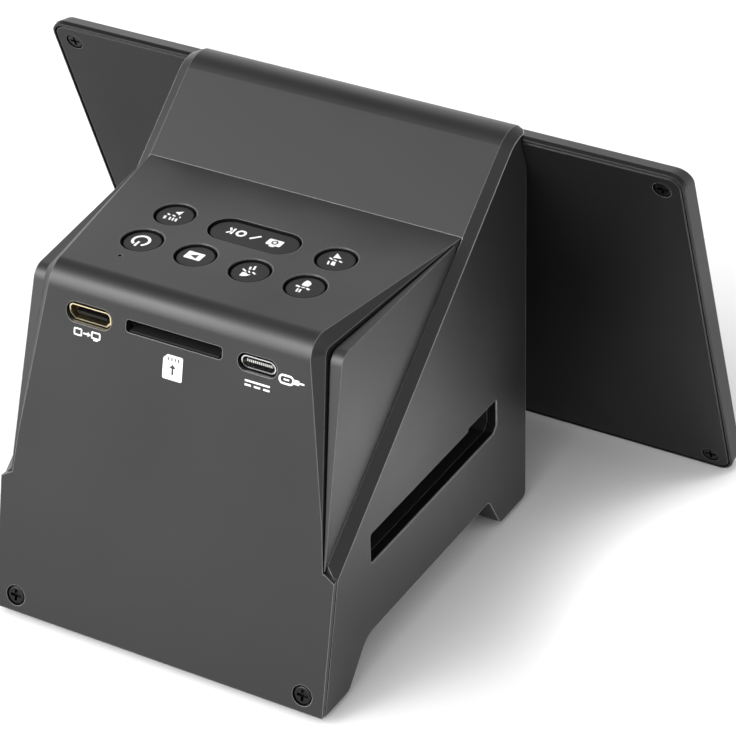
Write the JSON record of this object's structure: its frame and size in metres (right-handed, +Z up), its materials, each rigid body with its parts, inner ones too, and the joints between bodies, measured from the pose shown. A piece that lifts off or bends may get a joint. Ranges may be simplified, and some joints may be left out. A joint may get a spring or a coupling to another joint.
{
  "type": "film negative scanner",
  "caption": "Desktop film negative scanner: A-shaped body with a through slot for film holders, sloping hood, raised key deck with rear sockets, and a tilted flat display on its front.",
  "frame": {"origin": "middle of the bounding box in x and y, at the underside of the rubber feet", "axes": "+X across the display, to the right for a user who faces the screen; +Y from the user's side (display) to the socket side; +Z up"},
  "size_m": [0.1726, 0.139, 0.1054],
  "materials": {
    "case_plastic": "fine matte texture, charcoal",
    "display_plastic": "fine matte texture, dark charcoal",
    "rubber": "matte black",
    "black_screw": "black plated, satin",
    "cover_glass": "clear over a black border",
    "lcd": "dark screen",
    "backlight_tray": "satin sheet",
    "circuit_board": "solder mask, satin",
    "flex_cable": "amber film",
    "black_inner_plastic": "matte black",
    "white_plastic": "matte white",
    "led": "cast resin",
    "lens_glass": "polished, coated",
    "chip": "moulded package",
    "socket_steel": "plated sheet",
    "socket_plastic": "moulded insulator",
    "button_plastic": "satin, printed pictograms",
    "plunger_plastic": "moulded"
  },
  "bodies": {
    "case": {"main_housing": "case_plastic", "rear_cover": "case_plastic", "facet_panel_left": "case_plastic", "facet_panel_right": "case_plastic", "base_cover": "case_plastic", "base_screws": "black_screw", "rubber_feet": "rubber", "rear_cover_screws": "black_screw", "display_neck": "case_plastic", "neck_screws": "black_screw", "display_bezel": "display_plastic", "display_back_cover": "display_plastic", "display_screws": "black_screw", "display_glass": "cover_glass", "lcd_panel": "lcd", "lcd_backlight_unit": "backlight_tray", "display_driver_board": "circuit_board", "display_cable": "flex_cable", "film_gate_lower": "black_inner_plastic", "film_gate_upper": "black_inner_plastic", "backlight_diffuser": "white_plastic", "backlight_reflector": "white_plastic", "backlight_led_board": "circuit_board", "backlight_leds": "led", "lens_barrel": "black_inner_plastic", "lens_front_element": "lens_glass", "lens_rear_element": "lens_glass", "lens_mount": "black_inner_plastic", "ir_filter": "lens_glass", "image_sensor": "chip", "sensor_board": "circuit_board", "optics_bracket": "black_inner_plastic", "sensor_flex": "flex_cable", "main_board": "circuit_board", "main_board_chips": "chip", "usb_socket_shell": "socket_steel", "usb_socket_tongue": "socket_plastic", "video_socket_shell": "socket_steel", "video_socket_tongue": "socket_plastic", "card_socket_shell": "socket_steel", "card_socket_base": "black_inner_plastic", "button_board": "circuit_board", "tact_switches": "chip", "power_led": "led", "board_screws": "black_screw"},
    "key_rotate": {"button_rotate": "button_plastic", "plunger_rotate": "plunger_plastic"},
    "key_mirror": {"button_mirror": "button_plastic", "plunger_mirror": "plunger_plastic"},
    "key_power": {"button_power": "button_plastic", "plunger_power": "plunger_plastic"},
    "key_play": {"button_play": "button_plastic", "plunger_play": "plunger_plastic"},
    "key_size": {"button_size": "button_plastic", "plunger_size": "plunger_plastic"},
    "key_colour": {"button_colour": "button_plastic", "plunger_colour": "plunger_plastic"},
    "key_ok": {"button_ok": "button_plastic", "plunger_ok": "plunger_plastic"}
  },
  "joints": [
    {"name": "rotate_press", "type": "slide", "parent": "case", "child": "key_rotate", "axis": [0, 0, -1], "range_m": [0, 0.0005], "stiffness_N_per_m": 1200},
    {"name": "mirror_press", "type": "slide", "parent": "case", "child": "key_mirror", "axis": [0, 0, -1], "range_m": [0, 0.0005], "stiffness_N_per_m": 1200},
    {"name": "power_press", "type": "slide", "parent": "case", "child": "key_power", "axis": [0, 0, -1], "range_m": [0, 0.0005], "stiffness_N_per_m": 1200},
    {"name": "play_press", "type": "slide", "parent": "case", "child": "key_play", "axis": [0, 0, -1], "range_m": [0, 0.0005], "stiffness_N_per_m": 1200},
    {"name": "size_press", "type": "slide", "parent": "case", "child": "key_size", "axis": [0, 0, -1], "range_m": [0, 0.0005], "stiffness_N_per_m": 1200},
    {"name": "colour_press", "type": "slide", "parent": "case", "child": "key_colour", "axis": [0, 0, -1], "range_m": [0, 0.0005], "stiffness_N_per_m": 1200},
    {"name": "ok_press", "type": "slide", "parent": "case", "child": "key_ok", "axis": [0, 0, -1], "range_m": [0, 0.0005], "stiffness_N_per_m": 1200}
  ]
}
